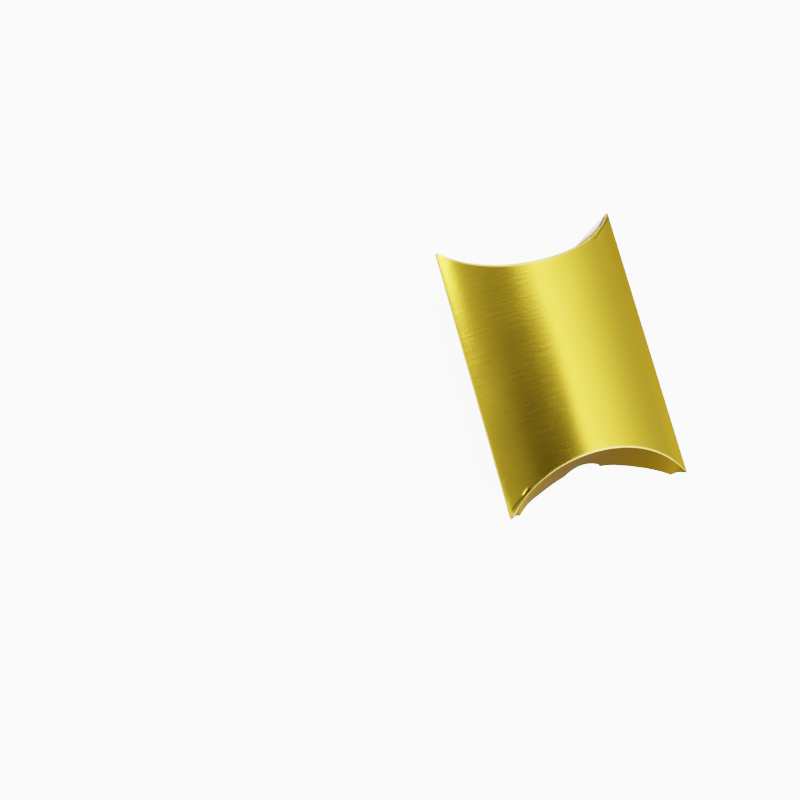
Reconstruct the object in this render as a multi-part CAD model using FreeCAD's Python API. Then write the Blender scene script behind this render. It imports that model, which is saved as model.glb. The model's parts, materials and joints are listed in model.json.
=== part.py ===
import FreeCAD, Part
import math
import os

# A pillow box, erected, lying on its bowed back panel.
# One sheet of white board with a gold metallised paper face is die-cut, creased and glued at one side.
# Two bowed panels meet in straight side folds. Curved creases dip in at both ends, and the four end
# flaps fold in along them. X runs across the width, Y along the length and Z up through the thickness.
# The bottom end is at -Y and the top end at +Y. The origin is under the middle, on the surface below.

# Driving dimensions in millimetres and degrees
BOX_LENGTH = 90.0  # from corner to corner
PANEL_WIDTH = 67.0  # of the flat card, from side fold to side fold
BOX_THICKNESS = 25.0  # over both bowed panels
CREASE_DEPTH = 13.0  # from the corners to the deepest point of an end crease
BOARD = 0.30  # white board
GOLD_FACE = 0.10  # metallised paper laminated on its outer side
SCORE_GAP = 0.25  # strip of card crushed flat along an end crease
BOTTOM_FLAP_LAP_GAP = 2.2  # inside of the bottom outer flap, sprung open, to the crease that it laps over
TOP_FLAP_LAP_GAP = 1.2  # inside of the top outer flap, pressed shut, to the crease that it laps over
OUTER_FLAP_EDGE_GAP = 0.1  # free edge of an outer flap to the far panel's outside
OUTER_FLAP_CORNER_INSET = 0.8  # end of that free edge to the side fold
THUMB_NOTCH_RADIUS = 6.0  # in the free edge of both front flaps
INNER_FLAP_LEAN = 12.0  # of an inner flap into the box, from upright
INNER_FLAP_EDGE_GAP = 1.0  # free edge of an inner flap to the far panel's inside
INNER_FLAP_CORNER_INSET = 5.0  # end of that free edge to the side fold
GLUE_TAB_WIDTH = 10.0  # of the flat card, from the side fold
GLUE_TAB_END_INSET = 17.0  # end of the tab to the box's corner, along the fold
GLUE_TAB_TAPER = 30.0  # of the tab's ends
SEAM_GLUE = 0.06  # thickness of the glue line
SEAM_GLUE_MARGIN = 2.0  # glue line to the tab's edges

# Shared directions
UP = FreeCAD.Vector(0, 0, 1)
ALONG = FreeCAD.Vector(0, 1, 0)
ACROSS = FreeCAD.Vector(1, 0, 0)


def bow_half_angle(width, rise):
    """Half the angle of an arc of this length that rises this far above its chord."""
    low, high = 1e-3, math.pi
    for _ in range(60):
        middle = (low + high) / 2
        if middle / (1 - math.cos(middle)) > width / (2 * rise):
            low = middle
        else:
            high = middle
    return (low + high) / 2


# Worked-out sizes of the bowed panels and of the plane that holds an end crease
CARD = BOARD + GOLD_FACE
HALF = BOX_THICKNESS / 2
BOW_ANGLE = bow_half_angle(PANEL_WIDTH, HALF)
BOW_RADIUS = PANEL_WIDTH / (2 * BOW_ANGLE)
HALF_CHORD = BOW_RADIUS * math.sin(BOW_ANGLE)
FRONT_CENTRE = FreeCAD.Vector(0, 0, BOX_THICKNESS - BOW_RADIUS)
BACK_CENTRE = FreeCAD.Vector(0, 0, BOW_RADIUS)
CREASE_SLOPE = math.hypot(CREASE_DEPTH, HALF)
CREASE_NORMAL = FreeCAD.Vector(0, HALF, CREASE_DEPTH) / CREASE_SLOPE
CREASE_UPHILL = FreeCAD.Vector(0, -CREASE_DEPTH, HALF) / CREASE_SLOPE

# An inner flap leans into the box
LEAN = math.radians(INNER_FLAP_LEAN)
INNER_FLAP_DIRECTION = FreeCAD.Vector(0, -math.sin(LEAN), -math.cos(LEAN))


def rounded_face(curve, *corners):
    """Flat face bounded by a curve and by straight lines from its end through the corners to its start."""
    points = [curve.EndPoint, *corners, curve.StartPoint]
    sides = [Part.LineSegment(a, b).toShape() for a, b in zip(points, points[1:])]
    return Part.Face(Part.Wire([curve.toShape(), *sides]))


def bow_point(radius, angle):
    """Point of the front panel's section at this radius and angle from the middle."""
    return FRONT_CENTRE + ACROSS * (radius * math.sin(angle)) + UP * (radius * math.cos(angle))


def face_between(first, second):
    """Flat face between two arcs that run the same way, closed by a straight line at each end."""
    right = Part.LineSegment(first.EndPoint, second.EndPoint)
    left = Part.LineSegment(second.StartPoint, first.StartPoint)
    return Part.Face(Part.Wire([edge.toShape() for edge in (first, right, second, left)]))


def bowed_sheet(inner_radius, outer_radius):
    """Layer of the front panel between two radii, from side fold to side fold, with square ends."""
    arcs = []
    for radius in (outer_radius, inner_radius):
        angle = math.acos((BOW_RADIUS - HALF) / radius)
        arcs.append(Part.Arc(*(bow_point(radius, a) for a in (-angle, 0, angle))))
    section = face_between(*arcs)
    section.translate(ALONG * (-BOX_LENGTH / 2))
    return section.extrude(ALONG * BOX_LENGTH)


def top_front_crease():
    """Curved crease where the bowed front panel meets the flap at the top end: an arc of an ellipse."""
    centre_y = BOX_LENGTH / 2 + CREASE_DEPTH * (BOW_RADIUS - HALF) / HALF
    centre = FRONT_CENTRE + ALONG * centre_y
    far = centre + CREASE_UPHILL * (BOW_RADIUS * CREASE_SLOPE / HALF)
    side = centre + ACROSS * BOW_RADIUS
    ellipse = Part.Ellipse(far, side, centre)
    return Part.ArcOfEllipse(ellipse, -BOW_ANGLE, BOW_ANGLE)


def beyond_crease():
    """What lies past the top front crease: the flap is in it, and the panel has it taken off."""
    crease = top_front_crease()
    outwards = CREASE_UPHILL * -BOX_THICKNESS
    region = rounded_face(crease, crease.EndPoint + outwards, crease.StartPoint + outwards)
    region.translate(CREASE_NORMAL * -BOX_THICKNESS)
    return region.extrude(CREASE_NORMAL * (2 * BOX_THICKNESS))


def at_bottom_end(shape):
    """The same piece at the bottom end."""
    return shape.mirror(FreeCAD.Vector(0, 0, 0), ALONG)


def on_back(shape):
    """The same piece on the back panel."""
    return shape.mirror(FreeCAD.Vector(0, 0, HALF), UP)


def front_panel_layer(inner_radius, outer_radius):
    """One layer of the front panel, trimmed at both curved creases."""
    beyond = beyond_crease()
    return bowed_sheet(inner_radius, outer_radius).cut([beyond, at_bottom_end(beyond)])


def flap_outline(corner_inset, lowest):
    """Everything above a flap's free edge, seen from the end: one arc that is lowest in the middle."""
    reach = HALF_CHORD - corner_inset
    left = FreeCAD.Vector(-reach, 0, HALF)
    middle = FreeCAD.Vector(0, 0, lowest)
    right = FreeCAD.Vector(reach, 0, HALF)
    above = UP * BOX_THICKNESS
    outline = rounded_face(Part.Arc(left, middle, right), right + above, left + above)
    return outline.extrude(ALONG * BOX_LENGTH)


def thumb_notch(lowest):
    """Half-round notch in the middle of a flap's free edge."""
    return Part.makeCylinder(THUMB_NOTCH_RADIUS, BOX_LENGTH, FreeCAD.Vector(0, 0, lowest), ALONG)


def crease_along(direction, angle):
    """Point of the top front crease at this angle of the panel's bow, as seen along a flap's direction."""
    point = top_front_crease().value(angle)
    return point - direction * point.dot(direction)


def flap(direction, corner_inset, lowest):
    """Gold face and board of a flap on the top front crease, bowed to follow it from corner to corner."""
    reach = math.asin((HALF_CHORD - corner_inset) / BOW_RADIUS)
    bow = Part.Arc(*(crease_along(direction, angle) for angle in (-reach, 0, reach))).toShape().Curve
    sides_and_middle = [crease_along(direction, angle) for angle in (-BOW_ANGLE, 0, BOW_ANGLE)]
    rays = [(point - bow.Center).normalize() for point in sides_and_middle]
    past_crease = beyond_crease()
    past_crease.translate(direction * SCORE_GAP)
    outline = flap_outline(corner_inset, lowest)
    layers = {}
    for layer, outside, inside in (("gold_face", 0, GOLD_FACE), ("board", GOLD_FACE, CARD)):
        radii = (bow.Radius + outside, bow.Radius + inside)
        arcs = [Part.Arc(*(bow.Center + ray * radius for ray in rays)) for radius in radii]
        section = face_between(*arcs)
        section.translate(direction * (-2 * BOX_THICKNESS))
        sheet = section.extrude(direction * (4 * BOX_THICKNESS))
        layers[layer] = sheet.common(past_crease).common(outline)
    return layers


def inside_back_panel(depth, thickness, inset):
    """Layer of the glue tab this far inside the back panel, its edges drawn in by the inset."""
    outer_radius = BOW_RADIUS - CARD - depth
    start = BACK_CENTRE - ALONG * (BOX_LENGTH / 2)
    ring = Part.makeCylinder(outer_radius, BOX_LENGTH, start, ALONG)
    ring = ring.cut(Part.makeCylinder(outer_radius - thickness, BOX_LENGTH, start, ALONG))
    under_front = FRONT_CENTRE - ALONG * (BOX_LENGTH / 2)
    ring = ring.common(Part.makeCylinder(BOW_RADIUS - CARD, BOX_LENGTH, under_front, ALONG))
    fold_x = HALF_CHORD - inset
    edge_x = BOW_RADIUS * math.sin(BOW_ANGLE - GLUE_TAB_WIDTH / BOW_RADIUS) + inset
    fold_y = BOX_LENGTH / 2 - GLUE_TAB_END_INSET - inset
    edge_y = fold_y - (fold_x - edge_x) * math.tan(math.radians(GLUE_TAB_TAPER))
    corners = [(fold_x, -fold_y), (fold_x, fold_y), (edge_x, edge_y), (edge_x, -edge_y), (fold_x, -fold_y)]
    outline = Part.Face(Part.makePolygon([FreeCAD.Vector(x, y, 0) for x, y in corners]))
    return ring.common(outline.extrude(UP * BOX_THICKNESS))


def panels():
    """Front and back panels, each a board with its gold face."""
    board_radius = BOW_RADIUS - GOLD_FACE
    gold = front_panel_layer(board_radius, BOW_RADIUS)
    board = front_panel_layer(BOW_RADIUS - CARD, board_radius)
    return {
        "front_panel_gold_face": gold,
        "front_panel_board": board,
        "back_panel_gold_face": on_back(gold),
        "back_panel_board": on_back(board),
    }


def glue_seam():
    """Tab that folds in from the front panel's right side, and the glue that holds it to the back panel."""
    return {
        "seam_glue": inside_back_panel(0, SEAM_GLUE, SEAM_GLUE_MARGIN),
        "glue_tab_gold_face": inside_back_panel(SEAM_GLUE, GOLD_FACE, 0),
        "glue_tab_board": inside_back_panel(SEAM_GLUE + GOLD_FACE, BOARD, 0),
    }


def outer_flap(lap_gap):
    """Layers of a flap that folds down just far enough to lap over the far crease with this gap."""
    direction = FreeCAD.Vector(0, CARD + lap_gap, -BOX_THICKNESS).normalize()
    return flap(direction, OUTER_FLAP_CORNER_INSET, OUTER_FLAP_EDGE_GAP)


def end_flaps():
    """Four flaps. The front flap is outermost at the bottom end, and the back flap at the top end."""
    inner_lowest = CARD + INNER_FLAP_EDGE_GAP
    bottom_outer = outer_flap(BOTTOM_FLAP_LAP_GAP)
    top_outer = outer_flap(TOP_FLAP_LAP_GAP)
    inner = flap(INNER_FLAP_DIRECTION, INNER_FLAP_CORNER_INSET, inner_lowest)
    pieces = {}
    for layer in inner:
        notched_outer = bottom_outer[layer].cut(thumb_notch(OUTER_FLAP_EDGE_GAP))
        notched_inner = inner[layer].cut(thumb_notch(inner_lowest))
        pieces["bottom_outer_flap_" + layer] = at_bottom_end(notched_outer)
        pieces["bottom_inner_flap_" + layer] = at_bottom_end(on_back(inner[layer]))
        pieces["top_outer_flap_" + layer] = on_back(top_outer[layer])
        pieces["top_inner_flap_" + layer] = notched_inner
    return pieces


os.makedirs("parts", exist_ok=True)
for node, shape in {**panels(), **glue_seam(), **end_flaps()}.items():
    solid = shape.Solids[0]
    solid.exportStep(os.path.join("parts", node + ".step"))
    print(node, "solids", len(shape.Solids), "valid", solid.isValid(), "volume", round(solid.Volume, 2))
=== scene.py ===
"""Looks of a pillow box: gold metallised card, bowed, creased and folded shut at both ends.

Every panel and flap starts as a flat piece of the die-cut card. One Geometry Nodes rule bows it, turns it
over its curved crease and gives it its thickness, as popping up the box does.
"""

from __future__ import annotations

import json
import logging
import math
from dataclasses import asdict, dataclass
from enum import Enum

import bpy
import numpy as np
from mathutils import Matrix, Vector


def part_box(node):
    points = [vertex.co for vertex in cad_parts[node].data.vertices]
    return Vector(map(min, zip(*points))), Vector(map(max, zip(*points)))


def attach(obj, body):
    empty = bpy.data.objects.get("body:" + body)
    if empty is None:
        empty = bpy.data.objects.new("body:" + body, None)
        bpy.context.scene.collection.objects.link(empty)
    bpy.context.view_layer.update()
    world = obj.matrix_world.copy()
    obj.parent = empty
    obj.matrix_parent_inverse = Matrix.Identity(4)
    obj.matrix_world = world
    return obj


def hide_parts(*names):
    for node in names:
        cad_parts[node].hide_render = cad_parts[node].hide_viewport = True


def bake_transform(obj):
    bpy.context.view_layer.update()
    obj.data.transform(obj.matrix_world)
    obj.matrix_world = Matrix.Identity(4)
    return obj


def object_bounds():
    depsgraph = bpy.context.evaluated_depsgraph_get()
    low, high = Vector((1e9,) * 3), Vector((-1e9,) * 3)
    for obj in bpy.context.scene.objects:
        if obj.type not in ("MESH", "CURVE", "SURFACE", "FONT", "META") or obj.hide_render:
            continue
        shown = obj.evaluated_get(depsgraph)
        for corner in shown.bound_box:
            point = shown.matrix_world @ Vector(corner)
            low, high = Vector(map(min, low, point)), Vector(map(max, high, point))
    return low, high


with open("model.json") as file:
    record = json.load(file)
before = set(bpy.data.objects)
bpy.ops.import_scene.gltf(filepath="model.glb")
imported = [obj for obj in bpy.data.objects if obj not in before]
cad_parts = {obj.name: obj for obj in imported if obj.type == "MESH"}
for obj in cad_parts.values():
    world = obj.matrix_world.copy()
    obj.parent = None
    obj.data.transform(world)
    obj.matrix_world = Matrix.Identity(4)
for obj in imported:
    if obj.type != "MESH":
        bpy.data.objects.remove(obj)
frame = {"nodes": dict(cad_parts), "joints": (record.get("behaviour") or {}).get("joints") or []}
CAD_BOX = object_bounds()

log = logging.getLogger("pillow_box")
MM = 0.001

# Keeps patterns off the whole numbers, where noise on a flat sheet shows its grid
OFF_LATTICE = (0.31, 0.57, 0.43)

# What the flat card keeps at each point for its shape: its place on the sheet, the crease that it turns over,
# its lift off the rule's surface and the share of its thickness that a pinch leaves it
SHAPE_ATTRIBUTES = ("across", "along", "past", "roll", "bend", "lift", "thick")

# What it keeps for its looks: its distance to a fold and how far painted shade darkens its film along a
# groove
LOOK_ATTRIBUTES = ("to_fold", "crack")
CARD_ATTRIBUTES = SHAPE_ATTRIBUTES + LOOK_ATTRIBUTES


class Face(Enum):
    """Panel that a piece of card belongs to, and which way that panel faces."""

    FRONT = 1
    BACK = -1


class End(Enum):
    """End of the box that a flap closes, and which way that end points along the length."""

    TOP = 1
    BOTTOM = -1


class Layer(Enum):
    """Layer of the laminated card, named as its node is."""

    GOLD = "gold_face"
    BOARD = "board"


def linear(colour: str) -> tuple[float, float, float, float]:
    """Turn an sRGB hex colour into linear light.

    Args:
        colour: Six hex digits after a hash.

    Returns:
        Linear red, green, blue and an alpha of 1.
    """
    channels = [int(colour[i : i + 2], 16) / 255 for i in (1, 3, 5)]
    light = [c / 12.92 if c <= 0.04045 else ((c + 0.055) / 1.055) ** 2.4 for c in channels]
    return (*light, 1.0)


def add(tree: bpy.types.NodeTree, kind: str, links: dict | None = None, **settings: object) -> bpy.types.Node:
    """Add a node with its settings, its links and its socket values.

    Args:
        tree: Tree that gets the node.
        kind: Blender's name for the kind of node.
        links: Input names or numbers, with an output socket to link or a value to set.
        settings: Properties of the node itself.

    Returns:
        The new node.
    """
    node = tree.nodes.new(kind)
    for name, value in settings.items():
        setattr(node, name, value)
    for name, value in (links or {}).items():
        if isinstance(value, bpy.types.NodeSocket):
            tree.links.new(value, node.inputs[name])
        else:
            node.inputs[name].default_value = value
    return node


def work_out(tree: bpy.types.NodeTree, sums: tuple[tuple, ...], values: dict[str, object]) -> None:
    """Add the nodes of a table of sums, and put each line's result among the values.

    Args:
        tree: Tree that gets the nodes.
        sums: Lines of a name, an operation and its terms, which are numbers or names of values. A SMOOTHSTEP
            has a value, the start and the end of its span, and the levels before and after it.
        values: Numbers and output sockets by their names.
    """
    for name, operation, *terms in sums:
        links = {i: values[term] if isinstance(term, str) else term for i, term in enumerate(terms)}
        if operation == "SMOOTHSTEP":
            node = add(tree, "ShaderNodeMapRange", links, interpolation_type=operation)
        else:
            node = add(tree, "ShaderNodeMath", links, operation=operation)
        values[name] = node.outputs[0]


def joint_of(body: str) -> dict:
    """The joint that carries a body."""
    return next(joint for joint in frame["joints"] if joint["child"] == body)


def smooth_step(share: np.ndarray) -> np.ndarray:
    """Ease from 0 to 1 as the share goes from 0 to 1."""
    held = np.clip(share, 0, 1)
    return held * held * (3 - 2 * held)


@dataclass(frozen=True)
class BoxSizes:
    """Sizes of the popped-up box in metres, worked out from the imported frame."""

    half_length: float
    half_chord: float
    top: float
    fold_height: float
    crease_depth: float
    gold: float
    board: float = 0.30 * MM
    side_fold_radius: float = 1.40 * MM
    crease_radius: float = 0.55 * MM
    corner_radius: float = 0.10 * MM
    corner_pinch: float = 8.0 * MM
    least_pinched: float = 0.05
    pinch_power: float = 1.5
    thumb_notch: float = 6.0 * MM
    section_steps: int = 4001

    @classmethod
    def from_frame(cls) -> BoxSizes:
        """Read the sizes off the front panel's nodes and the outer flap's hinge.

        Returns:
            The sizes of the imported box.
        """
        low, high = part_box("front_panel_gold_face")
        board_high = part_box("front_panel_board")[1]
        hinge = joint_of("bottom_outer_flap")["pos_m"]
        half_length = (high.y - low.y) / 2
        return cls(half_length, high.x, high.z, low.z, half_length - abs(hinge[1]), high.z - board_high.z)

    @property
    def bow_height(self) -> float:
        """Rise of a panel above the side folds."""
        return self.top - self.fold_height

    @property
    def bow_radius(self) -> float:
        """Radius of a panel's bow on the gold side, which runs into the rounded side folds."""
        fold, rise = self.side_fold_radius, self.bow_height
        return ((self.half_chord - fold) ** 2 + rise**2 - fold**2) / (2 * (rise - fold))

    @property
    def bow_angle(self) -> float:
        """Angle of the bow from the middle to where the rounded side fold begins."""
        radius = self.bow_radius
        return math.acos((radius - self.bow_height) / (radius - self.side_fold_radius))

    @property
    def bow_width(self) -> float:
        """Card from the middle to where the rounded side fold begins."""
        return self.bow_radius * self.bow_angle

    @property
    def panel_width(self) -> float:
        """Card from the middle to the line where the two panels meet."""
        return self.bow_width + self.side_fold_radius * (math.pi / 2 - self.bow_angle)

    def section(self, across: np.ndarray) -> tuple[np.ndarray, np.ndarray]:
        """Section of the popped-up front panel.

        Args:
            across: Places on the flat card, from the middle.

        Returns:
            Distance from the middle and height of each place.
        """
        side = np.abs(across)
        phi = np.minimum(side, self.bow_width) / self.bow_radius
        theta = phi + np.maximum(side - self.bow_width, 0) / self.side_fold_radius
        fold = self.side_fold_radius
        x = self.bow_radius * np.sin(phi) + fold * (np.sin(theta) - np.sin(phi))
        fall = self.bow_radius * (1 - np.cos(phi)) + fold * (np.cos(phi) - np.cos(theta))
        return np.sign(across) * x, self.top - fall

    def crease(self, across: np.ndarray) -> np.ndarray:
        """Line of an end crease: an arc on the flat card between the side folds.

        Args:
            across: Places on the flat card, from the middle.

        Returns:
            Distance of the crease from the middle of the length at each place.
        """
        half, dip = self.bow_width, self.crease_depth
        arc = (half**2 + dip**2) / (2 * dip)
        return self.half_length - dip + arc - np.sqrt(arc**2 - np.minimum(np.abs(across), half) ** 2)

    def roll(self, across: np.ndarray) -> np.ndarray:
        """Radius of the bend at an end crease, which is pinched to a sharp fold at the corners."""
        share = np.clip((self.panel_width - np.abs(across)) / self.corner_pinch, 0, 1)
        return self.corner_radius + (self.crease_radius - self.corner_radius) * share

    def pinch(self, from_corner: np.ndarray) -> np.ndarray:
        """Share of its thickness that the card keeps at this distance from a corner, where it is pinched."""
        share = np.clip(from_corner / self.corner_pinch, 0, 1)
        return self.least_pinched + (1 - self.least_pinched) * share**self.pinch_power

    def bend_start(self, across: np.ndarray) -> np.ndarray:
        """Distance from the middle of the length at which the card begins to turn over an end crease."""
        return self.crease(across) - self.roll(across)

    def across_at(self, x: np.ndarray) -> np.ndarray:
        """Places on the flat card that end up this far from the middle."""
        table = np.linspace(-self.panel_width, self.panel_width, self.section_steps)
        return np.interp(x, self.section(table)[0], table)


@dataclass(frozen=True)
class Buckle:
    """Line on the flat card, in millimetres, along which handling has kinked it.

    The line is a soft groove that fades at both ends, and painted shade darkens the film along it. The card
    on its left, seen along the line, may be turned down or up beyond it.
    """

    start: tuple[float, float]
    end: tuple[float, float]
    width: float
    depth: float
    turn_down: float = 0.0
    fade: float = 2.5
    # Strength and width of the painted shade along the groove
    painted_groove_shade: float = 0.0
    crack_width: float = 0.3

    def trace(self, across: np.ndarray, along: np.ndarray) -> tuple[np.ndarray, np.ndarray]:
        """Height that the kink adds to the card, and how much painted shade darkens the film.

        Args:
            across: Places across the flat card in metres.
            along: Places along it in metres.

        Returns:
            Height above the rule's surface in metres, negative in a groove, and the painted shade from 0 to
            1.
        """
        x, y = across / MM - self.start[0], along / MM - self.start[1]
        line = np.array(self.end) - np.array(self.start)
        length = float(np.hypot(*line))
        way = line / length
        run = x * way[0] + y * way[1]
        beyond = y * way[0] - x * way[1]
        held = smooth_step(run / self.fade) * smooth_step((length - run) / self.fade)
        groove = self.depth * np.exp(-((beyond / self.width) ** 2))
        flank = self.turn_down * self.width * np.logaddexp(0, beyond / self.width)
        # Painted shade along the groove
        crack = self.painted_groove_shade * held * np.exp(-((beyond / self.crack_width) ** 2))
        return -held * (groove + flank) * MM, crack


@dataclass(frozen=True)
class Dent:
    """Place on a flap's free edge, in millimetres, that is pressed in, or out where the depth is negative."""

    place: float
    width: float
    depth: float

    def depth_at(self, across: np.ndarray) -> np.ndarray:
        """Depth of the dent at these places across the flat card, in millimetres."""
        return self.depth * np.exp(-(((across / MM - self.place) / self.width) ** 2))


@dataclass(frozen=True)
class Lap:
    """How an outer flap's free edge lies over the opposite crease, in millimetres.

    The whole edge stands clear of the crease, less so where handling has dented it, and the flap may be cut
    short. A stretch of the edge may be sprung: its margin curls outwards and rises.
    """

    clear: float
    dents: tuple[Dent, ...] = ()
    short: float = 0.0
    curl: float = 0.0
    rise: float = 0.0
    margin: float = 5.0
    sprung_from: float = 0.0
    sprung_to: float = 1.0
    sprung_power: float = 1.5

    def stand_off(self, across: np.ndarray) -> np.ndarray:
        """Distance of the free edge from the opposite crease, in metres."""
        return (self.clear - sum(dent.depth_at(across) for dent in self.dents)) * MM

    def sprung(self, across: np.ndarray) -> np.ndarray:
        """How far the margin is sprung, from 0 at the ends of its stretch to 1 in the middle."""
        share = (across / MM - self.sprung_from) / (self.sprung_to - self.sprung_from)
        return np.sin(math.pi * np.clip(share, 0, 1)) ** self.sprung_power


@dataclass(frozen=True)
class FlapSpec:
    """One end flap as it is cut and folded. An inner flap has no lap: it leans in behind the outer one."""

    name: str
    face: Face
    end: End
    notched: bool
    lap: Lap | None = None

    def node(self, layer: Layer) -> str:
        """Name of the CAD node that a layer of the flap stands for."""
        return f"{self.name}_{layer.value}"


# Rule that pops up the flat card, one sum to a line: its name, its operation and its terms
POP_UP_RULE = (
    ("side", "ABSOLUTE", "across"),
    ("bowed", "MINIMUM", "side", "Bow Width"),
    ("phi", "DIVIDE", "bowed", "Bow Radius"),
    ("folded", "SUBTRACT", "side", "bowed"),
    ("turn", "DIVIDE", "folded", "Side Fold Radius"),
    ("theta", "ADD", "phi", "turn"),
    ("sin_phi", "SINE", "phi"),
    ("cos_phi", "COSINE", "phi"),
    ("sin_theta", "SINE", "theta"),
    ("cos_theta", "COSINE", "theta"),
    ("sin_fold", "SUBTRACT", "sin_theta", "sin_phi"),
    ("cos_fold", "SUBTRACT", "cos_phi", "cos_theta"),
    ("x_bow", "MULTIPLY", "sin_phi", "Bow Radius"),
    ("x_side", "MULTIPLY_ADD", "sin_fold", "Side Fold Radius", "x_bow"),
    ("left_or_right", "SIGN", "across"),
    ("x", "MULTIPLY", "left_or_right", "x_side"),
    ("versine", "SUBTRACT", 1.0, "cos_phi"),
    ("fall_bow", "MULTIPLY", "versine", "Bow Radius"),
    ("fall", "MULTIPLY_ADD", "cos_fold", "Side Fold Radius", "fall_bow"),
    ("height", "SUBTRACT", "Bow Height", "fall"),
    ("bend_card", "MULTIPLY", "bend", "roll"),
    ("curled", "MINIMUM", "past", "bend_card"),
    ("curl", "DIVIDE", "curled", "roll"),
    ("flat", "SUBTRACT", "past", "curled"),
    ("sin_curl", "SINE", "curl"),
    ("cos_curl", "COSINE", "curl"),
    ("sin_bend", "SINE", "bend"),
    ("cos_bend", "COSINE", "bend"),
    ("end", "ABSOLUTE", "along"),
    ("start", "SUBTRACT", "end", "past"),
    ("reach_curl", "MULTIPLY_ADD", "sin_curl", "roll", "start"),
    ("reach", "MULTIPLY_ADD", "flat", "cos_bend", "reach_curl"),
    ("top_or_bottom", "SIGN", "along"),
    ("y", "MULTIPLY", "top_or_bottom", "reach"),
    ("curl_versine", "SUBTRACT", 1.0, "cos_curl"),
    ("drop_curl", "MULTIPLY", "curl_versine", "roll"),
    ("drop", "MULTIPLY_ADD", "flat", "sin_bend", "drop_curl"),
    ("above_folds", "SUBTRACT", "height", "drop"),
    ("z", "MULTIPLY_ADD", "above_folds", "Facing", "Fold Height"),
    ("sunk", "MULTIPLY", "Depth", "thick"),
    ("offset", "SUBTRACT", "lift", "sunk"),
    ("wall", "MULTIPLY", "Thickness", "thick"),
    ("inwards", "MULTIPLY", "wall", -1.0),
)
RULE_INPUTS = (
    "Bow Width",
    "Bow Radius",
    "Bow Height",
    "Fold Height",
    "Side Fold Radius",
    "Facing",
    "Depth",
    "Thickness",
)


class PopUpRule:
    """Geometry Nodes tree that turns a flat piece of card into its bowed and folded shape."""

    MERGE_DISTANCE = 0.0005 * MM
    SHARP_ANGLE = math.radians(40)

    def __init__(self) -> None:
        """Build the tree once. Every piece of card uses it."""
        self.tree = bpy.data.node_groups.new("pop_up_card", "GeometryNodeTree")
        self.identifiers: dict[str, str] = {}
        self.build()

    def socket(self, name: str, kind: str, direction: str = "INPUT") -> None:
        """Add a named socket and keep its identifier."""
        made = self.tree.interface.new_socket(name=name, in_out=direction, socket_type=kind)
        self.identifiers[name] = made.identifier

    def build(self) -> None:
        """Lay out the whole tree: the rule, the lift off it, the thickness and the material."""
        tree = self.tree
        self.socket("Flat Card", "NodeSocketGeometry")
        for name in RULE_INPUTS:
            self.socket(name, "NodeSocketFloat")
        self.socket("Finish", "NodeSocketMaterial")
        self.socket("Card", "NodeSocketGeometry", "OUTPUT")
        given = add(tree, "NodeGroupInput")
        values = {name: given.outputs[name] for name in RULE_INPUTS}
        for name in SHAPE_ATTRIBUTES:
            values[name] = add(tree, "GeometryNodeInputNamedAttribute", {"Name": name}).outputs["Attribute"]
        work_out(tree, POP_UP_RULE, values)
        place = add(tree, "ShaderNodeCombineXYZ", {"X": values["x"], "Y": values["y"], "Z": values["z"]})
        moved = {"Geometry": given.outputs["Flat Card"], "Position": place.outputs[0]}
        shaped = add(tree, "GeometryNodeSetPosition", moved)
        behind = add(tree, "FunctionNodeCompare", {"A": values["Facing"], "B": 0.0}, operation="LESS_THAN")
        turned = {"Mesh": shaped.outputs[0], "Selection": behind.outputs[0]}
        outward = add(tree, "GeometryNodeFlipFaces", turned)
        normal = add(tree, "GeometryNodeInputNormal")
        off_rule = {0: normal.outputs[0], "Scale": values["offset"]}
        push = add(tree, "ShaderNodeVectorMath", off_rule, operation="SCALE")
        pushed = {"Geometry": outward.outputs[0], "Offset": push.outputs[0]}
        lifted = add(tree, "GeometryNodeSetPosition", pushed)
        thickened = {"Mesh": lifted.outputs[0], "Offset Scale": values["inwards"], "Individual": False}
        walls = add(tree, "GeometryNodeExtrudeMesh", thickened, mode="FACES")
        inside = add(tree, "GeometryNodeFlipFaces", {"Mesh": walls.outputs[0]})
        both = add(tree, "GeometryNodeJoinGeometry", {"Geometry": lifted.outputs[0]})
        tree.links.new(inside.outputs[0], both.inputs["Geometry"])
        closed = {"Geometry": both.outputs[0], "Distance": self.MERGE_DISTANCE}
        sealed = add(tree, "GeometryNodeMergeByDistance", closed)
        real = add(tree, "GeometryNodeRealizeInstances", {"Geometry": sealed.outputs[0]})
        finish = {"Geometry": real.outputs[0], "Material": given.outputs["Finish"]}
        dressed = add(tree, "GeometryNodeSetMaterial", finish)
        add(tree, "NodeGroupOutput", {"Card": dressed.outputs[0]})

    def shape(
        self, name: str, flat: bpy.types.Mesh, sizes: dict[str, float], finish: bpy.types.Material
    ) -> bpy.types.Object:
        """Pop up one flat piece and keep the result as a plain mesh.

        Args:
            name: Name of the finished piece.
            flat: Mesh of the flat card with its attributes.
            sizes: Value of each of the rule's inputs.
            finish: Material of the piece.

        Returns:
            The finished object, at the origin.
        """
        piece = bpy.data.objects.new(name, flat)
        bpy.context.scene.collection.objects.link(piece)
        modifier = piece.modifiers.new("pop_up", "NODES")
        modifier.node_group = self.tree
        for input_name, value in sizes.items():
            modifier[self.identifiers[input_name]] = value
        modifier[self.identifiers["Finish"]] = finish
        graph = bpy.context.evaluated_depsgraph_get()
        graph.update()
        mesh = bpy.data.meshes.new_from_object(piece.evaluated_get(graph), depsgraph=graph)
        piece.modifiers.remove(modifier)
        piece.data = mesh
        bpy.data.meshes.remove(flat)
        mesh.name = name
        mesh.polygons.foreach_set("use_smooth", [True] * len(mesh.polygons))
        mesh.set_sharp_from_angle(angle=self.SHARP_ANGLE)
        return piece


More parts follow.
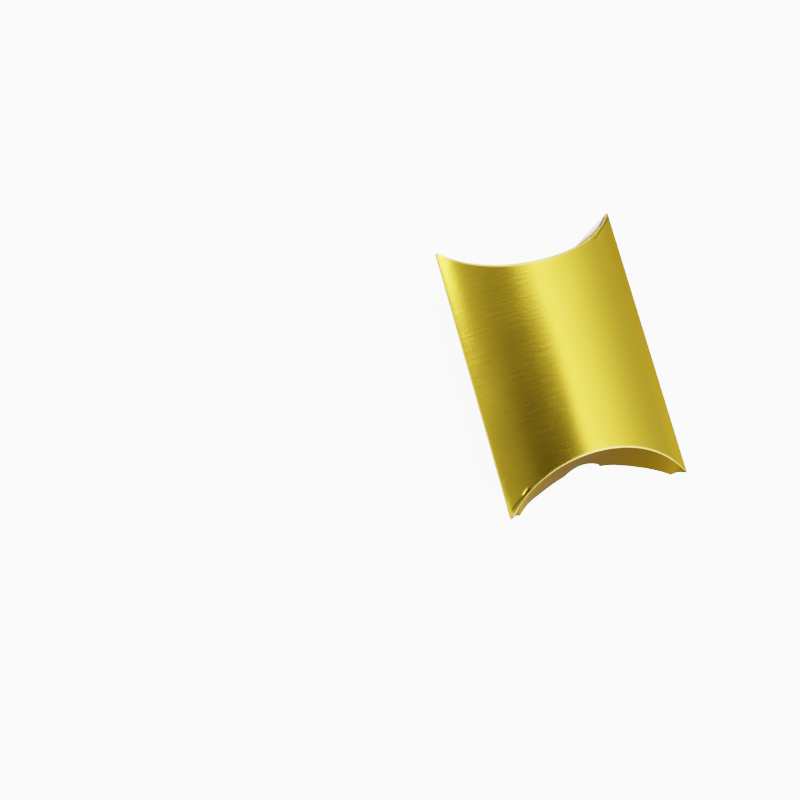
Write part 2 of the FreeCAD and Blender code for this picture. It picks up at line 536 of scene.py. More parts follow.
def card_mesh(name: str, grids: dict[str, np.ndarray]) -> bpy.types.Mesh:
    """Make the mesh of a flat piece of card from a grid of places.

    Args:
        name: Name of the mesh.
        grids: One array of rows and columns for each card attribute.

    Returns:
        A flat mesh of quads that face up, with the attributes on its points.
    """
    rows, columns = grids["across"].shape
    places = np.stack([grids["across"], grids["along"], np.zeros((rows, columns))], -1).reshape(-1, 3)
    corner = (np.arange(rows - 1)[:, None] * columns + np.arange(columns - 1)).ravel()
    quads = np.stack([corner, corner + 1, corner + columns + 1, corner + columns], -1)
    mesh = bpy.data.meshes.new(name)
    mesh.from_pydata(places.tolist(), [], quads.tolist())
    for attribute in CARD_ATTRIBUTES:
        values = mesh.attributes.new(attribute, "FLOAT", "POINT")
        values.data.foreach_set("value", grids[attribute].astype(np.float32).ravel())
    if grids["along"][-1].mean() < grids["along"][0].mean():
        mesh.flip_normals()
    return mesh


def empty_material(name: str) -> tuple[bpy.types.Material, bpy.types.NodeTree]:
    """Make a material with no nodes.

    Args:
        name: Name of the material.

    Returns:
        The material and its tree.
    """
    made = bpy.data.materials.new(name)
    made.use_nodes = True
    made.node_tree.nodes.clear()
    return made, made.node_tree


@dataclass(frozen=True)
class GoldCard:
    """Gold metallised card: film with a yellow lacquer, laminated to board and calendered. Sizes in mm.

    The eye gets a satin mirror that smears lights into long bands, an amber tone where it is seen edge-on,
    faint streaks across the sheet where the board's fibres show through the film, and paler lacquer along
    the folds where handling wears it; that pale tint also paints the highlight lines of the creases. Painted
    shade darkens the film along the grooves of the scores and kinks. The real grain of the film is too fine
    to show, so it is drawn coarser.
    """

    colour: str = "#F3C931"
    edge_tint: str = "#FFE0A8"
    # Paler tint along the folds: lacquer that handling wears, and painted highlight on the creases
    worn_and_highlight: str = "#F7D766"
    # Darker tint along the grooves of the scores and kinks: painted shade
    painted_groove_shade: str = "#8A6A14"
    roughness: float = 0.20
    roughness_spread: float = 0.03
    coat: float = 0.18
    coat_roughness: float = 0.2
    worn_roughness: float = 0.14
    worn_and_highlight_width: float = 1.3
    wear_and_highlight_patch: float = 3.0
    wear_and_highlight_from: float = 0.3
    wear_and_highlight_to: float = 0.65
    wear_and_highlight_least: float = 0.35
    streak_length: float = 6.0
    streak_spacing: float = 0.7
    streak_height: float = 0.018
    grain: float = 0.25
    grain_height: float = 0.002
    fine_detail: float = 2.0
    patch: float = 9.0
    patch_detail: float = 3.0

    def material(self) -> bpy.types.Material:
        """Build the material.

        Returns:
            Material that reads the flat card's attributes.
        """
        made, tree = empty_material("gold_metallised_card")
        across, along, to_fold, crack = (
            add(tree, "ShaderNodeAttribute", attribute_name=name).outputs["Fac"]
            for name in ("across", "along", *LOOK_ATTRIBUTES)
        )
        flat = add(tree, "ShaderNodeCombineXYZ", {"X": across, "Y": along}).outputs[0]

        def mottle(length: float, spacing: float, detail: float) -> bpy.types.NodeSocket:
            """Noise on the flat card, whose marks may be drawn out along the width.

            Args:
                length: Size of a mark across the card in millimetres.
                spacing: Size of a mark along the card in millimetres.
                detail: Number of finer layers in the noise.

            Returns:
                Noise from 0 to 1.
            """
            stretch = (1 / (length * MM), 1 / (spacing * MM), 1.0)
            marks = {"Vector": flat, "Scale": stretch, "Location": OFF_LATTICE}
            placed = add(tree, "ShaderNodeMapping", marks)
            noise = {"Vector": placed.outputs[0], "Scale": 1.0, "Detail": detail}
            return add(tree, "ShaderNodeTexNoise", noise).outputs[0]

        streaks = mottle(self.streak_length, self.streak_spacing, self.fine_detail)
        fibres = add(tree, "ShaderNodeBump", {"Height": streaks, "Distance": self.streak_height * MM})
        grains = mottle(self.grain, self.grain, self.fine_detail)
        fine = {"Height": grains, "Distance": self.grain_height * MM, "Normal": fibres.outputs[0]}
        bump = add(tree, "ShaderNodeBump", fine)
        # Painted highlight and wear: a paler tint near the folds, patchy with noise, which also dulls the
        # film there
        on_fold = {"Value": to_fold, "From Max": self.worn_and_highlight_width * MM, "To Min": 1.0, "To Max": 0.0}
        fold = add(tree, "ShaderNodeMapRange", on_fold, interpolation_type="SMOOTHSTEP")
        wear_and_highlight_patches = {
            "Value": mottle(self.wear_and_highlight_patch, self.wear_and_highlight_patch, self.patch_detail),
            "From Min": self.wear_and_highlight_from,
            "From Max": self.wear_and_highlight_to,
            "To Min": self.wear_and_highlight_least,
            "To Max": 1.0,
        }
        patchy_wear_and_highlight = add(tree, "ShaderNodeMapRange", wear_and_highlight_patches)
        worn_and_highlight = add(tree, "ShaderNodeMath", {0: fold.outputs[0], 1: patchy_wear_and_highlight.outputs[0]}, operation="MULTIPLY")
        colours = {0: worn_and_highlight.outputs[0], 6: linear(self.colour), 7: linear(self.worn_and_highlight)}
        worn_and_highlit_film = add(tree, "ShaderNodeMix", colours, data_type="RGBA")
        # Painted shade: the film is darkened along the grooves of the scores and kinks
        groove_shading = {0: crack, 6: worn_and_highlit_film.outputs[2], 7: linear(self.painted_groove_shade)}
        tint = add(tree, "ShaderNodeMix", groove_shading, data_type="RGBA")
        satin = {
            "Value": mottle(self.patch, self.patch, self.patch_detail),
            "To Min": self.roughness - self.roughness_spread,
            "To Max": self.roughness + self.roughness_spread,
        }
        sheen = add(tree, "ShaderNodeMapRange", satin)
        duller = {0: worn_and_highlight.outputs[0], 1: self.worn_roughness, 2: sheen.outputs[0]}
        rough = add(tree, "ShaderNodeMath", duller, operation="MULTIPLY_ADD")
        finish = {
            "Base Color": tint.outputs[2],
            "Metallic": 1.0,
            "Roughness": rough.outputs[0],
            "Specular Tint": linear(self.edge_tint),
            "Coat Weight": self.coat,
            "Coat Roughness": self.coat_roughness,
            "Normal": bump.outputs[0],
        }
        surface = add(tree, "ShaderNodeBsdfPrincipled", finish)
        add(tree, "ShaderNodeOutputMaterial", {"Surface": surface.outputs[0]})
        return made


@dataclass(frozen=True)
class WhiteBoard:
    """White folding board, bleached and uncoated on the inside. Sizes in mm.

    The eye gets a matt, faintly warm white with short fibres and soft clouds in its surface. Real fibres are
    too fine to show, so they are drawn about ten times as coarse.
    """

    colour: str = "#F3EFE6"
    shade: str = "#E4DED0"
    roughness: float = 0.82
    fibre: float = 0.35
    fibre_height: float = 0.012
    fibre_detail: float = 4.0
    cloud: float = 7.0
    cloud_detail: float = 3.0

    def material(self) -> bpy.types.Material:
        """Build the material.

        Returns:
            Material of the inside and of the cut edges.
        """
        made, tree = empty_material("white_folding_board")
        place = add(tree, "ShaderNodeTexCoord").outputs["Object"]
        short = {"Vector": place, "Scale": 1 / (self.fibre * MM), "Detail": self.fibre_detail}
        fibres = add(tree, "ShaderNodeTexNoise", short)
        soft = {"Vector": place, "Scale": 1 / (self.cloud * MM), "Detail": self.cloud_detail}
        clouds = add(tree, "ShaderNodeTexNoise", soft)
        colours = {0: clouds.outputs["Fac"], 6: linear(self.colour), 7: linear(self.shade)}
        tint = add(tree, "ShaderNodeMix", colours, data_type="RGBA")
        raised = {"Height": fibres.outputs["Fac"], "Distance": self.fibre_height * MM}
        bump = add(tree, "ShaderNodeBump", raised)
        finish = {"Base Color": tint.outputs[2], "Roughness": self.roughness, "Normal": bump.outputs[0]}
        surface = add(tree, "ShaderNodeBsdfPrincipled", finish)
        add(tree, "ShaderNodeOutputMaterial", {"Surface": surface.outputs[0]})
        return made


@dataclass(frozen=True)
class DriedGlue:
    """Line of dried white glue in the side seam, rolled on. Sizes in mm.

    The eye gets an ivory, slightly glossy film with streaks of more gloss.
    """

    colour: str = "#E9E2CC"
    glossiest: float = 0.3
    dullest: float = 0.55
    streak: float = 1.5
    streak_detail: float = 2.0

    def material(self) -> bpy.types.Material:
        """Build the material.

        Returns:
            Material of the glue line.
        """
        made, tree = empty_material("dried_white_glue")
        place = add(tree, "ShaderNodeTexCoord").outputs["Object"]
        rolled = {"Vector": place, "Scale": 1 / (self.streak * MM), "Detail": self.streak_detail}
        streaks = add(tree, "ShaderNodeTexNoise", rolled)
        shine = {"Value": streaks.outputs["Fac"], "To Min": self.glossiest, "To Max": self.dullest}
        gloss = add(tree, "ShaderNodeMapRange", shine)
        finish = {"Base Color": linear(self.colour), "Roughness": gloss.outputs[0]}
        surface = add(tree, "ShaderNodeBsdfPrincipled", finish)
        add(tree, "ShaderNodeOutputMaterial", {"Surface": surface.outputs[0]})
        return made


@dataclass(frozen=True)
class Finishes:
    """The object's three finishes, and the record's slot that the gold and the board stand for."""

    gold: bpy.types.Material
    board: bpy.types.Material
    glue: bpy.types.Material

    @classmethod
    def make(cls) -> Finishes:
        """Build all the materials."""
        return cls(GoldCard().material(), WhiteBoard().material(), DriedGlue().material())

    def of(self, layer: Layer) -> tuple[bpy.types.Material, str]:
        """Material and record slot of a layer of the card."""
        return (self.gold, "gold_face") if layer is Layer.GOLD else (self.board, "white_board")


@dataclass
class Card:
    """What all pieces of card share: the box's sizes, the rule, the finishes and the kinks from handling.

    The first kink lies behind the top right corner, with a dark line of painted shade. The others are a dark
    line of painted shade, the bright facet and the turned-up tip of the bottom left corner.
    """

    sizes: BoxSizes
    rule: PopUpRule
    finishes: Finishes
    buckles: tuple[Buckle, ...] = (
        Buckle(
            (21.0, 35.0),
            (33.6, 44.0),
            width=0.5,
            depth=0.06,
            turn_down=0.3,
            fade=2.0,
            painted_groove_shade=0.85,
            crack_width=0.4,
        ),
        Buckle(
            (-23.0, -36.4),
            (-32.5, -43.2),
            width=0.3,
            depth=0.04,
            turn_down=0.12,
            painted_groove_shade=0.8,
            crack_width=0.22,
        ),
        Buckle((-23.9, -37.0), (-27.2, -39.5), width=0.45, depth=-0.19, fade=0.8),
        Buckle((-27.0, -43.5), (-34.5, -34.5), width=1.5, depth=0.0, turn_down=-0.16, fade=1.0),
    )
    stiff_edge: float = 2.5 * MM

    def kinks(self, across: np.ndarray, along: np.ndarray) -> tuple[np.ndarray, np.ndarray]:
        """Shape of the front panel's kinks, which the stiff side folds hold down.

        Args:
            across: Places across the flat card.
            along: Places along it.

        Returns:
            Height that all the kinks add to the card, and how much painted shade darkens its film.
        """
        lifts, groove_shades = zip(*(buckle.trace(across, along) for buckle in self.buckles))
        held = smooth_step((self.sizes.panel_width - np.abs(across)) / self.stiff_edge)
        return sum(lifts) * held, sum(groove_shades)

    def pop_up(self, node: str, layer: Layer, face: Face, grids: dict[str, np.ndarray]) -> bpy.types.Object:
        """Shape one layer of a flat piece and let it stand for its CAD node.

        Args:
            node: Name of the node that the piece replaces.
            layer: Layer of the card.
            face: Panel that the piece belongs to.
            grids: The flat piece.

        Returns:
            The finished piece.
        """
        sizes = self.sizes
        gold = layer is Layer.GOLD
        material, slot = self.finishes.of(layer)
        values = {
            "Bow Width": sizes.bow_width,
            "Bow Radius": sizes.bow_radius,
            "Bow Height": sizes.bow_height,
            "Fold Height": sizes.fold_height,
            "Side Fold Radius": sizes.side_fold_radius,
            "Facing": float(face.value),
            "Depth": 0.0 if gold else sizes.gold,
            "Thickness": sizes.gold if gold else sizes.board,
        }
        piece = self.rule.shape(node + "_card", card_mesh(node, grids), values, material)
        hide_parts(node)
        return piece


@dataclass
class Sleeve:
    """The two bowed panels, with the glue tab and its glue that join them inside."""

    card: Card
    columns: int = 130
    score_columns: int = 14
    fold_columns: int = 9
    rows: int = 150
    score_strip: float = 2.0 * MM
    score_place: float = 1.35 * MM
    score_width: float = 0.22 * MM
    score_depth: float = 0.020 * MM
    # Painted shade that darkens the film along the score's groove
    score_shade: float = 0.2
    wave_height: float = 0.008 * MM
    wave_hold: int = 4
    swells: tuple[tuple[float, float, float], ...] = ((0.23, 0.10, 0.6), (-0.31, 0.16, 2.0), (0.0, 0.27, 4.1))

    def across(self) -> np.ndarray:
        """Columns of points of a flat panel, closer together at the scored side folds.

        Returns:
            Their places across the flat card.
        """
        sizes = self.card.sizes
        plain = sizes.bow_width - self.score_strip
        bow = np.linspace(-plain, plain, self.columns)
        score = np.linspace(plain, sizes.bow_width, self.score_columns)[1:]
        fold = np.linspace(sizes.bow_width, sizes.panel_width, self.fold_columns)[1:]
        side = np.concatenate([score, fold])
        return np.concatenate([-side[::-1], bow, side])

    def waves(self, across: np.ndarray, along: np.ndarray) -> np.ndarray:
        """Long shallow waves of card that was folded by hand, dying out at the folds.

        Args:
            across: Places across the flat card.
            along: Places along it.

        Returns:
            Height of the waves. A swell has its turn for a millimetre across and along, and its phase.
        """
        sizes = self.card.sizes
        x, y = across / MM, along / MM
        swell = sum(np.sin(by_x * x + by_y * y + phase) for by_x, by_y, phase in self.swells)
        off_side = 1 - (across / sizes.panel_width) ** self.wave_hold
        off_crease = 1 - (along / sizes.bend_start(across)) ** self.wave_hold
        return self.wave_height * swell * off_side * off_crease

    def flat_panel(self, face: Face) -> dict[str, np.ndarray]:
        """Flat panel between the starts of its two end creases.

        Args:
            face: Panel to lay out. Only the front one has kinks.

        Returns:
            Grids of the card attributes.
        """
        sizes = self.card.sizes
        across = self.across()
        start = sizes.bend_start(across)
        along = np.sin(np.linspace(-math.pi / 2, math.pi / 2, self.rows))[:, None] * start
        across = np.broadcast_to(across, along.shape)
        to_side = sizes.panel_width - np.abs(across)
        to_crease = start - np.abs(along) + sizes.roll(across)
        score = np.exp(-(((to_side - self.score_place) / self.score_width) ** 2))
        lift = self.waves(across, along) - self.score_depth * score
        nothing = np.zeros(along.shape)
        kinked, crack = self.card.kinks(across, along) if face is Face.FRONT else (nothing, nothing)
        return {
            "across": across,
            "along": along,
            "past": nothing,
            "roll": sizes.roll(across),
            "bend": nothing,
            "lift": lift + kinked,
            "thick": sizes.pinch(np.hypot(to_side, start - np.abs(along))),
            "to_fold": np.minimum(to_side, to_crease),
            # Painted shade along the kinks' grooves and along the score
            "crack": crack + self.score_shade * score,
        }

    def build(self) -> None:
        """Make both panels and dress the seam's CAD nodes."""
        for face in Face:
            for layer in Layer:
                node = f"{face.name.lower()}_panel_{layer.value}"
                piece = self.card.pop_up(node, layer, face, self.flat_panel(face))
                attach(piece, "sleeve")
                log.info("%s: %d points", piece.name, len(piece.data.vertices))
        finishes = self.card.finishes
        seam = {
            "glue_tab_gold_face": finishes.gold,
            "glue_tab_board": finishes.board,
            "seam_glue": finishes.glue,
        }
        for node, material in seam.items():
            mesh = frame["nodes"][node].data
            mesh.materials.clear()
            mesh.materials.append(material)
            log.info("%s keeps its CAD shape", node)


@dataclass
class Flap:
    """One end flap on its curved crease."""

    card: Card
    spec: FlapSpec
    side_columns: int = 46
    notch_columns: int = 30
    bend_rows: int = 13
    flat_rows: int = 28
    corner_gap: float = 0.3 * MM
    outer_corner_gap: float = 0.5 * MM
    corner_lean: float = 8.0 * MM
    end_taper: float = 3.0 * MM
    point_taper: float = 1.0 * MM
    strip: float = 1.2 * MM
    least_flat: float = 0.05 * MM
    inner_bend: float = math.radians(102)
    hem_bend: float = math.radians(165)
    most_lean: float = math.radians(32)
    lean_power: float = 0.75
    notch_share: float = 0.996

    def columns(self) -> np.ndarray:
        """Columns of points of the flat flap, closer together round a notch.

        Returns:
            Their places across the flat card. The notch's columns stop just short of its upright ends.
        """
        sizes = self.card.sizes
        notch = sizes.thumb_notch * self.notch_share
        inner_corner = sizes.bow_width - self.corner_gap
        corner = sizes.panel_width - self.outer_corner_gap if self.spec.lap else inner_corner
        if not self.spec.notched:
            return np.linspace(-corner, corner, 2 * self.side_columns + self.notch_columns)
        side = np.linspace(sizes.across_at(notch), corner, self.side_columns)
        round_notch = notch * np.sin(np.linspace(-math.pi / 2, math.pi / 2, self.notch_columns))
        return np.concatenate([-side[::-1], sizes.across_at(round_notch[1:-1]), side])

    def lowest(self) -> float:
        """Height of the middle of the free edge before its notch, for a flap on the front panel.

        The flap of the same kind that has no notch is on the back panel. Its node shows where the edge lies.

        Returns:
            Height of the uncut edge.
        """
        spec, sizes = self.spec, self.card.sizes
        plain = spec.name.replace("bottom", "top") if spec.lap else spec.name.replace("top", "bottom")
        cut = sizes.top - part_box(f"{plain}_{Layer.BOARD.value}")[1].z
        return cut + spec.lap.short * MM if spec.lap else cut

    def reach(self) -> float:
        """Distance of the ends of the free edge from the middle."""
        return self.card.sizes.half_chord if self.spec.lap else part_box(self.spec.node(Layer.BOARD))[1].x

    def past_end(self, across: np.ndarray) -> np.ndarray:
        """How far each place lies in the taper at the ends of the free edge, from 0 to 1.

        Args:
            across: Places on the flat card.

        Returns:
            The share. An inner flap tapers past its ends to a strip, an outer one up to its ends to a point.
        """
        taper = self.point_taper if self.spec.lap else self.end_taper
        begin = self.reach() - taper if self.spec.lap else self.reach()
        return smooth_step((np.abs(self.card.sizes.section(across)[0]) - begin) / taper)

    def drop(self, across: np.ndarray, notched: bool) -> np.ndarray:
        """How far the free edge lies below the crease, for a flap on the front panel.

        Args:
            across: Places on the flat card.
            notched: Whether the thumb notch is cut.

        Returns:
            Distance at each place, which tapers to a narrow strip beyond the ends of the free edge.
        """
        sizes, lowest, reach = self.card.sizes, self.lowest(), self.reach()
        x, height = sizes.section(across)
        rise = sizes.fold_height - lowest
        radius = (reach**2 + rise**2) / (2 * rise)
        edge = lowest + radius - np.sqrt(radius**2 - np.minimum(np.abs(x), reach) ** 2)
        if notched:
            inside = np.sqrt(np.maximum(sizes.thumb_notch**2 - x**2, 0))
            edge = np.maximum(edge, lowest + inside)
        past_end = self.past_end(across)
        strip = self.strip * (sizes.panel_width - np.abs(across)) / sizes.corner_pinch
        drop = np.maximum((height - edge) * (1 - past_end), np.minimum(strip, self.strip))
        return drop + self.spec.lap.rise * MM * self.spec.lap.sprung(across) if self.spec.lap else drop

    def bend(self, across: np.ndarray, drop: np.ndarray) -> np.ndarray:
        """Turn of the card at the crease. The strip past an inner flap's ends is hemmed under the panel.

        Args:
            across: Places on the flat card.
            drop: How far the free edge lies below the crease there.

        Returns:
            Angle at each place in radians.
        """
        if not self.spec.lap:
            return self.inner_bend + (self.hem_bend - self.inner_bend) * self.past_end(across)
        lean = np.arctan2(self.spec.lap.stand_off(across), drop)
        from_corner = np.clip((self.card.sizes.panel_width - np.abs(across)) / self.corner_lean, 0, 1)
        return math.pi / 2 - np.minimum(lean, self.most_lean * from_corner**self.lean_power)

    def flat_flap(self) -> dict[str, np.ndarray]:
        """Flat flap from the start of its crease to its free edge.

        Returns:
            Grids of the card attributes.
        """
        sizes, spec = self.card.sizes, self.spec
        across = self.columns()
        drop = self.drop(across, spec.notched)
        bend = self.bend(across, self.drop(across, False))
        roll = sizes.roll(across)
        turning = roll * bend
        straight = np.maximum(drop - roll * (1 - np.cos(bend)), self.least_flat) / np.sin(bend)
        turn_rows = np.linspace(0, 1, self.bend_rows)[:, None] * turning
        flat_rows = turning + np.linspace(0, 1, self.flat_rows)[1:, None] * straight
        past = np.concatenate([turn_rows, flat_rows])
        start = sizes.bend_start(across)
        lift = np.zeros(past.shape)
        if spec.face is Face.FRONT:
            turned = np.minimum(past, turning) / roll
            lift = self.card.kinks(across, spec.end.value * start)[0] * np.cos(turned)
        if spec.lap:
            curled = np.minimum(spec.lap.margin * MM, straight)
            margin = np.clip(1 - (turning + straight - past) / curled, 0, 1)
            lift = lift + spec.lap.curl * MM * spec.lap.sprung(across) * margin**2
        grids = {
            "across": across,
            "along": spec.end.value * (start + past),
            "past": past,
            "roll": roll,
            "bend": bend,
            "lift": lift,
            "thick": sizes.pinch(sizes.panel_width - np.abs(across)),
            "to_fold": np.abs(past - turning / 2),
            "crack": np.zeros(past.shape),
        }
        return {name: np.broadcast_to(grid, past.shape) for name, grid in grids.items()}

    def open_weights(self, mesh: bpy.types.Mesh) -> np.ndarray:
        """How far each point turns with the flap, from none on the crease to all of the joint's angle.

        The crease is curved, so a rigid flap would tear off its panel. A point near the crease's ends is far
        from the hinge's line and turns less: each gets the angle that brings it to where the unfolded card
        would be.

        Args:
            mesh: Finished mesh of one layer of the flap.

        Returns:
            One weight for each point.
        """
        sizes, spec = self.card.sizes, self.spec
        read = {}
        for name in CARD_ATTRIBUTES:
            values = np.zeros(len(mesh.vertices), np.float32)
            mesh.attributes[name].data.foreach_get("value", values)
            read[name] = values.astype(float)
        past, bend, roll = read["past"], read["bend"], read["roll"]
        turning = roll * bend
        start = np.abs(read["along"]) - past
        height = sizes.section(read["across"])[1]
        hinge = joint_of(spec.name)
        limit = math.radians(hinge["range_deg"][1])
        hinge_y = abs(hinge["pos_m"][1])
        hinge_z = sizes.fold_height + abs(hinge["pos_m"][2] - sizes.fold_height)
        outside = np.maximum(past, turning + self.least_flat)

        def angle_at(turn: np.ndarray) -> np.ndarray:
            """Angle round the hinge of each point, on a flap whose card is bent by this turn.

            Args:
                turn: Turn of the card at the crease at each point.

            Returns:
                Angles in radians, counted on from straight down.
            """
            flat = outside - turning
            y = start + roll * np.sin(bend) + flat * np.cos(turn) - hinge_y
            z = height - roll * (1 - np.cos(bend)) - flat * np.sin(turn) - hinge_z
            return np.unwrap(np.stack([np.full(y.shape, -math.pi / 2), np.arctan2(z, y)]), axis=0)[1]

        if spec.lap:
            unfolded = np.arctan2(height - hinge_z, start + outside - hinge_y)
            weight = (unfolded - angle_at(bend)) / limit
        else:
            weight = (angle_at(bend) - angle_at(bend + limit)) / limit
        weight = np.clip(weight, 0, 1)
        return np.where(past < turning, weight * past / turning, weight)

    def build(self) -> None:
        """Make both layers of the flap, and work out each point's share of the hinge's turn."""
        spec = self.spec
        for layer in Layer:
            piece = self.card.pop_up(spec.node(layer), layer, spec.face, self.flat_flap())
            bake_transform(piece)
            weights = self.open_weights(piece.data).astype(np.float32)
            log.info("%s: %d points", piece.name, len(piece.data.vertices))


@dataclass(frozen=True)
class SoftBox:
    """Soft light: a glowing sheet that faces the object and is turned in its own plane. Sizes in metres."""

    name: str
    direction: tuple[float, float, float]
    distance: float
    width: float
    height: float
    turn: float
    radiance: float

    def place(self, target: Vector) -> None:
        """Hang the light and turn it to the object.

        Args:
            target: Middle of the object.
        """
        light = bpy.data.lights.new(self.name, "AREA")
        light.shape = "RECTANGLE"
        light.size = self.width
        light.size_y = self.height
        light.energy = self.radiance * math.pi * self.width * self.height
        lamp = bpy.data.objects.new(self.name, light)
        away = Vector(self.direction).normalized()
        across = Vector((0, 1, 0)).cross(away).normalized()
        facing = Matrix((across, away.cross(across), away)).transposed().to_4x4()
        turned = facing @ Matrix.Rotation(math.radians(self.turn), 4, "Z")
        lamp.matrix_world = Matrix.Translation(target + away * self.distance) @ turned
        bpy.context.scene.collection.objects.link(lamp)


# Light of the room in a direction x, y, z, one sum to a line: its name, its operation and its terms
ROOM_LIGHT = (
    ("from_right", "SUBTRACT", 1.0, "x"),
    ("from_edge", "DIVIDE", "from_right", "window_span"),
    ("in_window", "MINIMUM", "from_edge", 1.0),
    ("fade", "POWER", "in_window", "window_fade"),
    ("glow", "MULTIPLY_ADD", "fade", "window_glow", "right_wall"),
    ("past_straight", "SUBTRACT", "y", "edge_straight"),
    ("round_part", "MAXIMUM", "past_straight", 0.0),
    ("round_square", "MULTIPLY", "round_part", "round_part"),
    ("rounding", "MULTIPLY", "round_square", "edge_round"),
    ("rounded", "MINIMUM", "rounding", "edge_most"),
    ("from_dark", "ADD", "x", "rounded"),
    ("lit", "SMOOTHSTEP", "from_dark", "edge_near", "edge_far", 0.0, 1.0),
    ("lit_glow", "MULTIPLY", "glow", "lit"),
    ("to_front", "SMOOTHSTEP", "y", 0.0, -0.3, 1.0, "front_gain"),
    ("windows", "MULTIPLY", "lit_glow", "to_front"),
    ("behind", "MAXIMUM", "y", 0.0),
    ("to_back", "MINIMUM", "behind", "back_most"),
    ("back_square", "MULTIPLY", "to_back", "to_back"),
    ("back_level", "SMOOTHSTEP", "from_dark", "edge_near", "edge_far", "back_glow", 0.0),
    ("back", "MULTIPLY", "back_square", "back_level"),
    ("low_left", "SMOOTHSTEP", "x", -0.6, -0.9, 0.0, "left_low"),
    ("low_share", "SMOOTHSTEP", "z", 0.42, 0.05, 0.0, 1.0),
    ("low", "MULTIPLY", "low_left", "low_share"),
    ("left_side", "SMOOTHSTEP", "x", -0.5, -0.95, "dark", "left_wall"),
    ("wall", "ADD", "left_side", "low"),
    ("back_and_wall", "ADD", "back", "wall"),
    ("sky", "ADD", "windows", "back_and_wall"),
    ("paper_level", "SMOOTHSTEP", "z", -0.45, -0.92, "paper", "paper_below"),
    ("left_paper", "SMOOTHSTEP", "x", -0.3, -1.0, 0.0, "paper_left"),
    ("right_share", "SMOOTHSTEP", "x", 0.5, 0.9, 0.0, 1.0),
    ("front_level", "SMOOTHSTEP", "y", 0.22, 0.02, 0.0, "paper_front"),
    ("front_right", "MULTIPLY", "right_share", "front_level"),
    ("under_level", "SMOOTHSTEP", "x", 0.3, 0.55, 0.0, "paper_under"),
    ("under_share", "SMOOTHSTEP", "z", -0.22, -0.55, 0.0, 1.0),
    ("under", "MULTIPLY", "under_level", "under_share"),
    ("paper_and_left", "ADD", "paper_level", "left_paper"),
    ("front_and_under", "ADD", "front_right", "under"),
    ("ground", "ADD", "paper_and_left", "front_and_under"),
    ("above", "SMOOTHSTEP", "z", -0.04, 0.03, 0.0, 1.0),
)


@dataclass(frozen=True)
class Room:
    """What the gold mirrors beside the lights: a dark room, with a wall of windows overhead on the right.

    The windows glow most at their near edge and fade towards the right wall, and the dark part glows towards
    the back. Below lies warm paper, which the light from the left makes brightest on that side. The camera
    itself sees a plain pale backdrop.
    """

    window_edge: float = 0.145
    edge_softness: float = 0.08
    edge_round: float = 12.0
    edge_straight: float = 0.12
    edge_most: float = 0.3
    window_glow: float = 3.7
    window_fade: float = 1.35
    right_wall: float = 0.50
    front_gain: float = 2.0
    dark: float = 0.035
    left_wall: float = 0.255
    left_low: float = 0.45
    back_glow: float = 4.3
    back_most: float = 0.75
    paper: float = 0.50
    paper_below: float = 0.2
    paper_front: float = 0.3
    paper_under: float = 0.55
    paper_left: float = 1.2
    paper_colour: str = "#FFF2E6"
    light_colour: str = "#FFFFFF"
    backdrop: float = 8.0

    def build(self) -> None:
        """Make the world."""
        world = bpy.data.worlds.new("studio")
        world.use_nodes = True
        tree = world.node_tree
        tree.nodes.clear()
        way = add(tree, "ShaderNodeTexCoord").outputs["Generated"]
        parts = add(tree, "ShaderNodeSeparateXYZ", {0: way})
        values = asdict(self)
        values.update({axis.lower(): parts.outputs[axis] for axis in "XYZ"})
        values["window_span"] = 1 - self.window_edge
        values["edge_near"] = self.window_edge - self.edge_softness
        values["edge_far"] = self.window_edge + self.edge_softness
        work_out(tree, ROOM_LIGHT, values)
        above = values["above"]
        white = linear(self.light_colour)
        level = add(tree, "ShaderNodeMix", {0: above, 2: values["ground"], 3: values["sky"]})
        colours = {0: above, 6: linear(self.paper_colour), 7: white}
        tint = add(tree, "ShaderNodeMix", colours, data_type="RGBA")
        room = add(tree, "ShaderNodeBackground", {"Color": tint.outputs[2], "Strength": level.outputs[0]})
        backdrop = add(tree, "ShaderNodeBackground", {"Color": white, "Strength": self.backdrop})
        camera_ray = add(tree, "ShaderNodeLightPath").outputs["Is Camera Ray"]
        both = add(tree, "ShaderNodeMixShader", {0: camera_ray, 1: room.outputs[0], 2: backdrop.outputs[0]})
        add(tree, "ShaderNodeOutputWorld", {"Surface": both.outputs[0]})
        bpy.context.scene.world = world


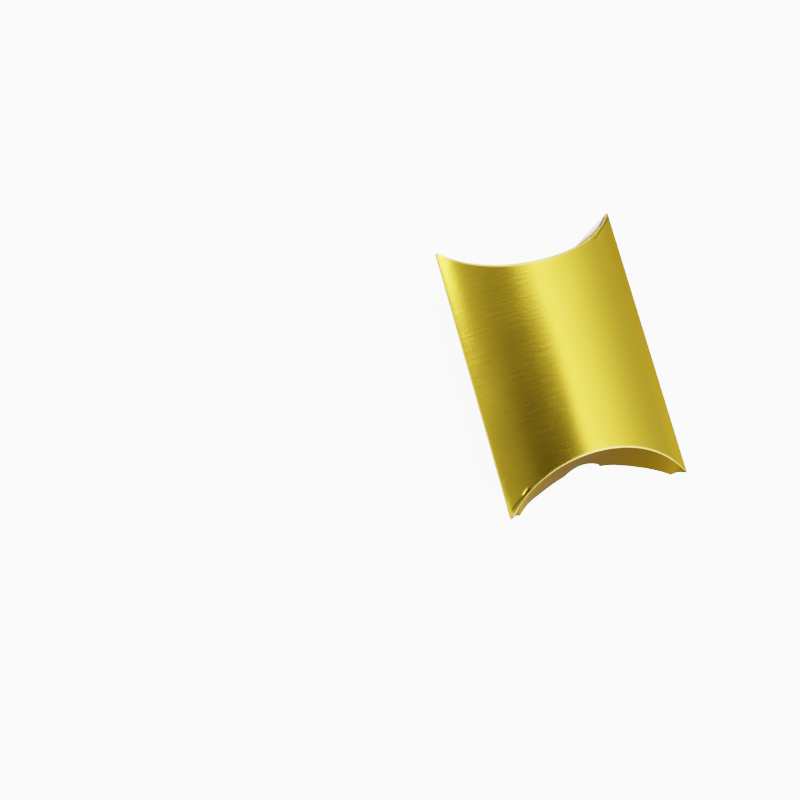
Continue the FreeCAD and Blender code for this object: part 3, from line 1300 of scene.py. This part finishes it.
@dataclass(frozen=True)
class Studio:
    """Pale floor, soft lights and the camera at the photograph's viewing angle. Camera sizes in mm."""

    camera_place: tuple[float, float, float] = (-108.86, -56.66, 402.58)
    camera_target: tuple[float, float, float] = (-54.11, 0.92, 12.5)
    picture_turn: float = 15.24
    focal_length: float = 55.99
    sensor: float = 36.0
    clip_start: float = 10.0
    floor_size: float = 30.0
    floor_colour: str = "#F4F3F1"
    floor_roughness: float = 0.9
    floor_glow: float = 6.5
    room: Room = Room()
    lights: tuple[SoftBox, ...] = (
        SoftBox(
            "left_window",
            direction=(-0.86, 0.44, 0.255),
            distance=0.8,
            width=0.15,
            height=0.30,
            turn=18.0,
            radiance=14.0,
        ),
    )

    def camera(self) -> None:
        """Make the camera and let the scene look through it."""
        place = Vector(self.camera_place) * MM
        back = (place - Vector(self.camera_target) * MM).normalized()
        turn = math.radians(self.picture_turn)
        right = Vector((math.sin(turn), math.cos(turn), 0)).cross(back).normalized()
        data = bpy.data.cameras.new("camera")
        data.lens = self.focal_length
        data.sensor_width = self.sensor
        data.clip_start = self.clip_start * MM
        camera = bpy.data.objects.new("camera", data)
        axes = Matrix((right, back.cross(right), back)).transposed().to_4x4()
        camera.matrix_world = Matrix.Translation(place) @ axes
        bpy.context.scene.collection.objects.link(camera)
        bpy.context.scene.camera = camera

    def floor(self) -> None:
        """Lay a plain pale floor under the object: matt paper, lit from behind so that it stays pale."""
        half = self.floor_size / 2
        mesh = bpy.data.meshes.new("floor")
        corners = [(-half, -half, 0), (half, -half, 0), (half, half, 0), (-half, half, 0)]
        mesh.from_pydata(corners, [], [(0, 1, 2, 3)])
        made, tree = empty_material("matt_floor_paper")
        paper = {
            "Base Color": linear(self.floor_colour),
            "Roughness": self.floor_roughness,
            "Emission Color": linear(self.floor_colour),
            "Emission Strength": self.floor_glow,
        }
        surface = add(tree, "ShaderNodeBsdfPrincipled", paper)
        add(tree, "ShaderNodeOutputMaterial", {"Surface": surface.outputs[0]})
        mesh.materials.append(made)
        floor = bpy.data.objects.new("floor", mesh)
        floor.visible_glossy = False
        bpy.context.scene.collection.objects.link(floor)

    def build(self, target: Vector) -> None:
        """Set up everything round the object.

        Args:
            target: Middle of the object.
        """
        self.camera()
        self.floor()
        self.room.build()
        for light in self.lights:
            light.place(target)
        bpy.context.scene.view_settings.view_transform = "Filmic"


def flap_specs() -> list[FlapSpec]:
    """The four end flaps. The front flap is outermost at the bottom end, and the back flap at the top end.

    Returns:
        The flaps in the order in which they are made.
    """
    dents = (
        Dent(place=-1.0, width=5.0, depth=1.15),
        Dent(place=-16.0, width=6.0, depth=-0.6),
        Dent(place=9.0, width=6.0, depth=0.6),
    )
    sprung_open = Lap(clear=3.6, dents=dents)
    pressed_shut = Lap(clear=0.3, short=0.6, curl=1.6, rise=1.15, sprung_from=12.0, sprung_to=34.0)
    return [
        FlapSpec("bottom_outer_flap", Face.FRONT, End.BOTTOM, notched=True, lap=sprung_open),
        FlapSpec("bottom_inner_flap", Face.BACK, End.BOTTOM, notched=False),
        FlapSpec("top_outer_flap", Face.BACK, End.TOP, notched=False, lap=pressed_shut),
        FlapSpec("top_inner_flap", Face.FRONT, End.TOP, notched=True),
    ]


def main() -> None:
    """Build the box and the studio round it."""
    logging.basicConfig(level=logging.INFO, format="%(name)s: %(message)s")
    card = Card(BoxSizes.from_frame(), PopUpRule(), Finishes.make())
    Sleeve(card).build()
    for spec in flap_specs():
        Flap(card, spec).build()
    Studio().build((CAD_BOX[0] + CAD_BOX[1]) / 2)


if __name__ == "__main__":
    main()
